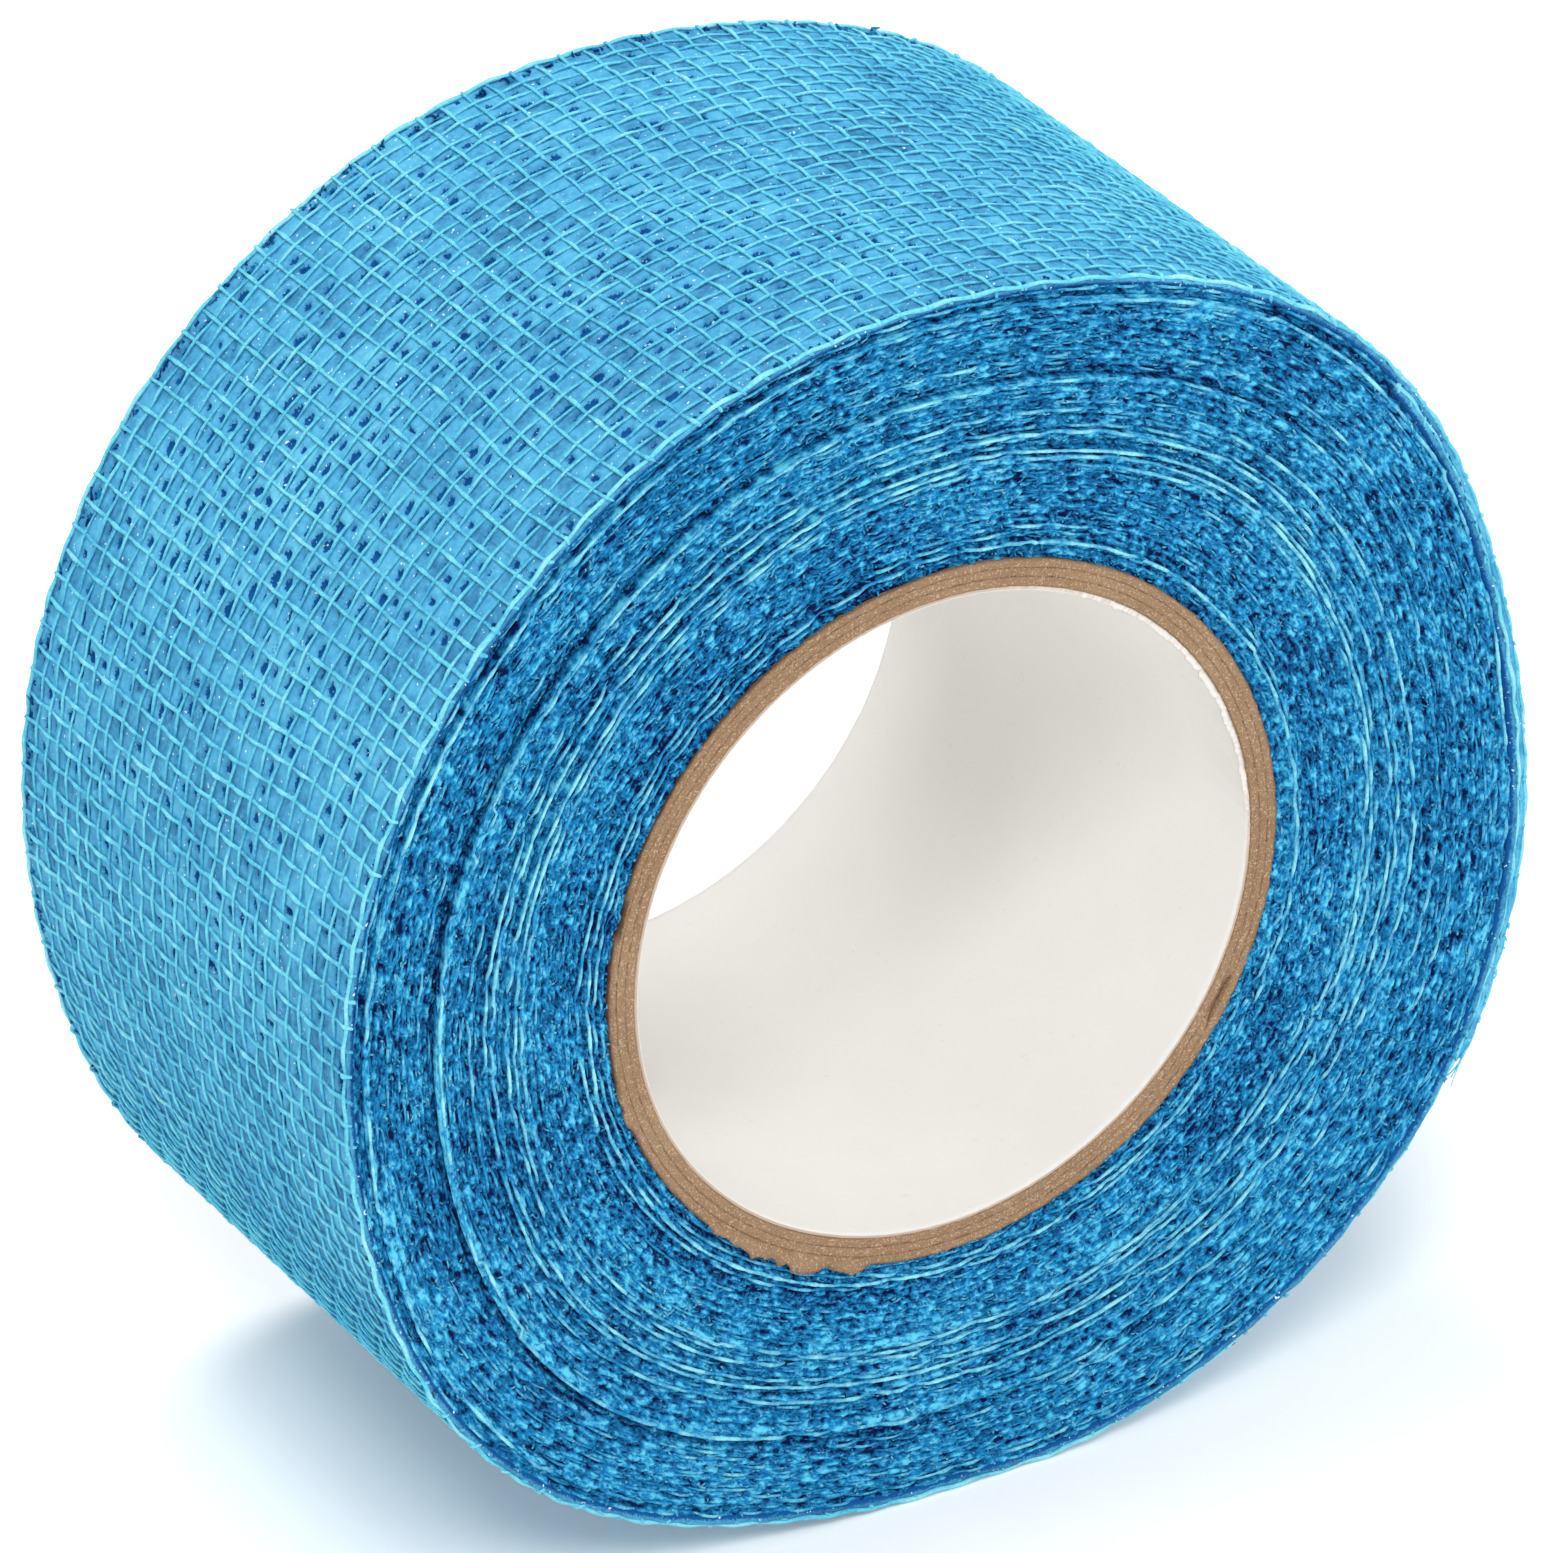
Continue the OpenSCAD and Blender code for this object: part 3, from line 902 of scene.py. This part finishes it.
def weave_rings(start, stop, seed, underside):
    """Closed outlines across the strip, along it from start to stop in degrees: the coat between
    the yarns with its open cells on top, and an underside that shows the yarns if it is seen."""
    rows = int(round((stop - start) / weft_degrees * 7)) + 1
    total = np.linspace(start, stop, rows)[:, None]
    cells = np.linspace(-0.1, warps - 0.9, warps * 9)[None]
    along = total / weft_degrees
    y = strip_front + edge_margin + cells * warp_pitch
    at_edge = np.clip(1 - (warps - 1) / 2 + np.abs(cells - (warps - 1) / 2), 0, 1) ** 3
    y = y + at_edge * 0.07 * smooth_noise(along * 1.3, cells, seed + 7)
    weft = along + weft_wander(along, y)
    cell_row, cell_column = np.floor(weft), np.floor(cells)
    chance, shift, size = cell_values(cell_row, cell_column, seed)
    band = smooth_noise(along / 9.0, y / 6.0, seed + 1)
    band = band + 0.6 * smooth_noise(along / 3.0, y / 2.5, seed + 2)
    is_open = np.clip((0.74 + 0.4 * band - chance) / 0.12, 0, 1)
    across = (cells - cell_column - 0.5 + 0.42 * (shift - 0.5)) / (0.12 + 0.22 * size)
    down = (weft - cell_row - 0.5 + 0.42 * (size - 0.5)) / (0.14 + 0.3 * shift)
    uneven = 0.9 * smooth_noise(along * 3.1, y * 3.3, seed + 6)
    hole = is_open * np.clip(1.8 * (1.25 + uneven - (across ** 2 + down ** 2)), 0, 1)
    hole = hole * hole * (3 - 2 * hole)
    # The yarns of the turn below show faintly through the coat
    warp_below = cells + 0.35 + 0.15 * smooth_noise(along / 8.0, y / 8.0, seed + 3)
    weft_below = weft + 0.45 + 0.4 * smooth_noise(along / 5.0, y / 5.0, seed + 4)
    from_warp = np.abs(warp_below % 1 - 0.5) * 2
    from_weft = np.abs(weft_below % 1 - 0.5) * 2
    lines = np.clip(1 - from_warp / 0.3, 0, 1) + 0.7 * np.clip(1 - from_weft / 0.25, 0, 1)
    lines = np.clip(lines, 0, 1)
    ripple = smooth_noise(along * 2.3, y * 2.6, seed + 5)
    lift = -coat_depth - cell_depth * hole * (1 - 0.35 * lines) + 0.02 * ripple
    cell_tone = 0.22 * (size - 0.5) + 0.06 * band
    tone = np.clip(0.46 + cell_tone + 0.1 * ripple + 0.13 * lines, 0, 1)
    turned = total - outer_start
    top = wound(all_turns, turned, y, lift)
    if underside:
        warp_bulge = np.clip(1 - np.abs(cells - np.round(cells)) / 0.16, 0, 1)
        weft_bulge = np.clip(1 - np.abs(weft - np.round(weft)) / 0.14, 0, 1)
        bulge = np.maximum(warp_bulge, weft_bulge) * (1 + 0.3 * ripple)
        under_y, under_hole = y[:, ::-1], hole[:, ::-1]
        under_tone = np.clip(0.4 + cell_tone + 0.08 * ripple + 0.5 * bulge, 0, 1)[:, ::-1]
        under_lift = (-0.26 - 0.08 * bulge + 0.06 * hole)[:, ::-1]
    else:
        under_y = np.linspace(strip_back - edge_margin, strip_front + edge_margin, 6)[None]
        # The underside lies on the turn below and gets the dark pit colour, as painted shade
        under_hole = np.ones((rows, 6))
        under_tone = 0.1 * under_hole
        under_lift = -under_depth
    under = wound(all_turns, turned, under_y, under_lift)
    fields = {"tone": np.concatenate([tone, under_tone], 1),
              "hole": np.concatenate([hole, under_hole], 1)}
    return np.concatenate([top, under], 1), fields


def warp_tubes(start, stop):
    """The lengthwise yarns between two places along the strip."""
    count = max(4, int(round((stop - start) / weft_degrees * 4)) + 1)
    total = np.linspace(start, stop, count)[None]
    number = np.arange(warps)[:, None]
    along = total / weft_degrees
    y = warp_place(number) + warp_wander(number, along)
    weft = along + weft_wander(along, y)
    over = np.where(number % 2 == 0, 1, -1) * np.cos(math.pi * weft)
    lift = -0.085 - 0.045 * over
    fuzz = smooth_noise(along * 2.1, number * 3.1, 112)
    centres = wound(all_turns, total - outer_start, y + 0.018 * fuzz, lift)
    normals = centres * np.array([1, 0, 1])
    # The strip's two edges are bound by a thicker and lighter yarn
    cord = (number == 0) | (number == warps - 1)
    uneven = 1 + 0.16 * smooth_noise(along / 1.7, number * 2.1, 105) + 0.2 * fuzz
    uneven = uneven * np.where(cord, 1.45, 1)
    faded = 0.16 * smooth_noise(along / 2.3, number * 1.9, 106)
    # Painted shade: a lengthwise yarn is darker where it dips under the crosswise yarns
    tone = np.clip(0.38 + faded - 0.08 * over + 0.12 * fuzz + np.where(cord, 0.2, 0), 0, 1)
    return tubes(centres, normals, warp_half[0] * uneven, warp_half[1] * uneven, tone, sides=5)


def weft_tubes(start, stop):
    """The crosswise yarns between two places along the strip, with their cut ends turned down
    over the strip's edges."""
    number = np.arange(math.ceil(start / weft_degrees), math.ceil(stop / weft_degrees))[:, None]
    past = edge_margin / warp_pitch + 0.08
    cells = np.linspace(-past, warps - 1 + past, warps * 4)[None]
    y = strip_front + edge_margin + cells * warp_pitch
    y = np.clip(y, strip_front - 0.07, strip_back + 0.07)
    along = number - weft_wander(number, y)
    outside = np.clip(np.abs(cells - (warps - 1) / 2) - (warps - 1) / 2, 0, 1) / past
    random = np.random.RandomState(107).uniform(-1, 1, (997, 3))[number[:, 0] % 997]
    over = np.cos(math.pi * cells) * np.where(number % 2 == 0, 1, -1)
    fuzz = smooth_noise(cells * 2.1, number * 3.3, 113)
    lift = -0.075 + 0.05 * over * (outside == 0) - outside * (0.12 + 0.12 * random[:, :1])
    along = along + outside * 0.12 * random[:, 1:2] + 0.016 * fuzz
    centres = wound(all_turns, along * weft_degrees - outer_start, y, lift)
    normals = centres * np.array([1, 0, 1])
    uneven = 1 + 0.2 * smooth_noise(cells * 1.1, number * 1.7, 108) + 0.2 * fuzz
    # It is thicker at each crossing, and thinner at its cut ends
    uneven = uneven * (1 + 0.25 * np.abs(np.cos(math.pi * cells)) ** 4)
    taper = 1 - 0.35 * np.clip(outside, 0, 1)
    # Painted highlight where the crosswise yarn rides over a lengthwise one
    over_highlight = 0.16 * np.clip(over, 0, 1)
    faded = 0.16 * smooth_noise(cells / 1.3, number * 2.3, 109)
    tone = np.clip(0.36 + over_highlight + 0.12 * fuzz + faded, 0, 1)
    half_width, half_height = weft_half[0] * uneven * taper, weft_half[1] * uneven * taper
    return tubes(centres, normals, half_width, half_height, tone, sides=5)


def tip_ends(seed):
    """The cut ends of the lengthwise yarns, which fray out of the strip's tip."""
    random = np.random.RandomState(seed)
    fibres = 5
    number = np.repeat(np.arange(warps), fibres)[:, None]
    total = len(number)
    share = np.linspace(0, 1, 6)[None]
    reach = random.uniform(0.2, 1.1, total)[:, None] / rim_r * 180 / math.pi
    lean = random.normal(0, 0.22, total)[:, None]
    droop = random.uniform(-0.08, 0.2, total)[:, None]
    y = warp_place(number) + 0.05 * random.normal(0, 1, total)[:, None] + lean * share ** 2
    centres = wound(all_turns, 360 - 0.6 + (reach + 0.6) * share, y, -0.08 - droop * share ** 2)
    normals = centres * np.array([1, 0, 1])
    width = (0.05 - 0.025 * share) * np.ones((total, 1))
    # Slightly lighter towards the tips, as painted light; the brightness also varies at random
    tone = np.clip(random.uniform(0.35, 0.95, total)[:, None] + 0.1 * share, 0, 1)
    return tubes(centres, normals, width, width, tone, sides=4, columns=5)


outer_end = outer_start + outer_stop
coat_cuts = np.linspace(outer_start, outer_end, 4)
# The length under the free end ends where the outer turn starts, and reaches a little under it
under_start = outer_start - (360 - outer_stop) - 8
weave_seed = 110
for name, start, stop in (("outer_turn_coat_a", coat_cuts[0], coat_cuts[1]),
                          ("outer_turn_coat_b", coat_cuts[1], coat_cuts[2]),
                          ("outer_turn_coat_c", coat_cuts[2], coat_cuts[3]),
                          ("closing_turn_coat", under_start, outer_start)):
    rings, fields = weave_rings(start, stop, weave_seed, False)
    coat = skin_piece(name, rings, False, fields, gauze_film)
    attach(coat, "roll")
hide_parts("top_turn")

for side, face in ((-1, "front"), (1, "back")):
    points, faces, corners, tone = frayed_ends([all_turns], side, 300 + side, 0, outer_stop)
    edge = make_piece("outer_turn_edge_" + face, points, faces, corners, {"tone": tone}, gauze_edge_yarn)
    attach(edge, "roll")

for name, maker, start, stop in (("outer_turn_warps", warp_tubes, outer_start, outer_end),
                                 ("outer_turn_wefts", weft_tubes, outer_start, outer_end),
                                 ("closing_turn_warps", warp_tubes, under_start, outer_start),
                                 ("closing_turn_wefts", weft_tubes, under_start, outer_start)):
    points, faces, corners, tone = maker(start, stop)
    yarn = make_piece(name, points, faces, corners, {"tone": tone}, gauze_yarn)
    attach(yarn, "roll")

# Free end.
# The last 25 mm of the same strip peels off the roll. It is made in five pieces that meet
# halfway between the hinges.
bodies = ["roll"] + [joint["child"] for joint in frame["joints"]]
free_pieces = []
for number in range(len(bodies)):
    start = outer_end + number * section_degrees
    stop = min(start + section_degrees, outer_start + 360)
    rings, fields = weave_rings(start, stop, weave_seed, True)
    coat = skin_piece("free_end_coat_%d" % (number + 1), rings, False, fields, gauze_film)
    yarns = [warp_tubes(start, stop), weft_tubes(start, stop)]
    for side in (-1, 1):
        yarns.append(frayed_ends([all_turns], side, 310 + side, start - outer_start, stop - outer_start))
    if number == len(hinges):
        yarns.append(tip_ends(320))
    points, faces, corners, tone = joined(yarns)
    name = "free_end_yarns_%d" % (number + 1)
    yarn = make_piece(name, points, faces, corners, {"tone": tone}, gauze_yarn)
    ends = wound(all_turns, np.array([start, stop]) - outer_start, 0, 0) * MM
    for piece in (coat, yarn):
        if number < len(hinges):
            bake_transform(piece)
        else:
            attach(piece, bodies[-1])
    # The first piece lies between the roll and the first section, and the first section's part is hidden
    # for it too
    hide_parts("free_end_%d" % max(number, 1))
    free_pieces += [coat, yarn]

# Floor and light.
# The roll stands on a plain white table. Large soft lamps on both sides and above, and a bright
# room, light it evenly.
table_half = 1.5
# The loose yarns under the roll hold it this far off the table
yarn_squeeze = 0.00008
floor_z = cad_box[0].z - yarn_squeeze
floor_mesh = bpy.data.meshes.new("table_top")
floor_corners = [(-table_half, -table_half, floor_z), (table_half, -table_half, floor_z),
                 (table_half, table_half, floor_z), (-table_half, table_half, floor_z)]
floor_mesh.from_pydata(floor_corners, [], [(0, 1, 2, 3)])
table_top = bpy.data.objects.new("table_top", floor_mesh)
bpy.context.scene.collection.objects.link(table_top)
white_table, tree, shader = new_material("white_table", roughness=0.9, specular=0.1)
grain = use_group(tree, pulp, Fleck_Size=0.002, Fleck_Share=0.0)
clouded = mix_in(tree, grain.outputs["Cloud"], dye(253, 253, 253), dye(250, 250, 250))
tree.links.new(clouded, shader.inputs["Base Color"])
shader.inputs["Emission Color"].default_value = (1, 1, 1, 1)
shader.inputs["Emission Strength"].default_value = 0.14
floor_mesh.materials.append(white_table)


def soft_lamp(name, place, size, power):
    """A round lamp that is aimed at the roll."""
    lamp = bpy.data.lights.new(name, "AREA")
    lamp.shape = "DISK"
    lamp.size = size
    lamp.energy = power
    holder = bpy.data.objects.new(name, lamp)
    holder.location = place
    aim = -holder.location
    holder.rotation_euler = aim.to_track_quat("-Z", "Y").to_euler()
    bpy.context.scene.collection.objects.link(holder)


soft_lamp("key_lamp", (-0.45, -0.75, 1.0), size=0.5, power=8)
soft_lamp("fill_lamp", (0.75, -0.7, 0.45), size=0.6, power=3.2)
soft_lamp("top_lamp", (-0.1, 0.3, 1.1), size=0.6, power=6.4)

room = bpy.data.worlds.new("bright_room")
room.use_nodes = True
room.node_tree.nodes["Background"].inputs["Color"].default_value = (1, 1, 1, 1)
room.node_tree.nodes["Background"].inputs["Strength"].default_value = 0.5
bpy.context.scene.world = room
bpy.context.scene.view_settings.view_transform = "Standard"
